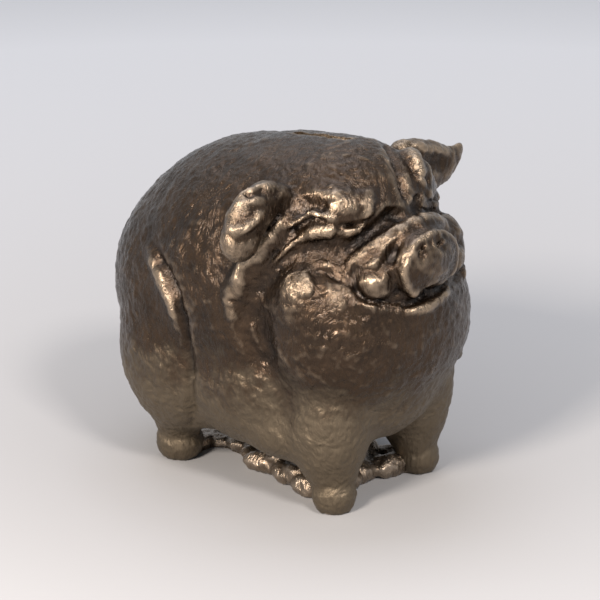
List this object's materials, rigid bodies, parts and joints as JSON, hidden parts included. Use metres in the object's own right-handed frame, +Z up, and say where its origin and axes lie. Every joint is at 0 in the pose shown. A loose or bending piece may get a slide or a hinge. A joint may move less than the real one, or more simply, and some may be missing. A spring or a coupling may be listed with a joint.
{
  "type": "coin bank",
  "caption": "Pig-shaped cast iron coin bank: hollow halves screwed together on a rough ground plate, slot along the back, swinging coin trap under the belly.",
  "frame": {"origin": "middle of the overall box, on the ground under the feet", "axes": "+Z up; the pig looks along -Y, its right side is at -X"},
  "size_m": [0.1651, 0.1938, 0.176],
  "materials": {
    "bronze_painted_iron": "glossy bronze paint over a hammered, brush-marked casting",
    "bronze_painted_plate": "glossy dark bronze paint over a lumpy casting",
    "screw_steel": "dulled turned steel",
    "trap_steel": "rolled steel plate with swing scratches",
    "thumb_screw_brass": "aged turned brass"
  },
  "bodies": {
    "bank": {"right_body_shell": "bronze_painted_iron", "left_body_shell": "bronze_painted_iron", "base_slab": "bronze_painted_plate", "front_joining_screw": "screw_steel", "rear_joining_screw": "screw_steel", "base_screw_front_right": "screw_steel", "base_screw_front_left": "screw_steel", "base_screw_rear_right": "screw_steel", "base_screw_rear_left": "screw_steel", "trap_pivot_screw": "screw_steel"},
    "cover": {"trap_cover": "trap_steel"},
    "thumb_screw": {"trap_thumb_screw": "thumb_screw_brass"}
  },
  "joints": [
    {"name": "cover_swing", "type": "hinge", "parent": "bank", "child": "cover", "pos_m": [0.0105, 0.0102, 0.0187], "axis": [0, 0, 1], "range_deg": [0, 100]},
    {"name": "thumb_screw_turn", "type": "hinge", "parent": "bank", "child": "thumb_screw", "pos_m": [-0.0105, -0.0262, 0.0187], "axis": [0, 0, 1], "continuous": true}
  ]
}
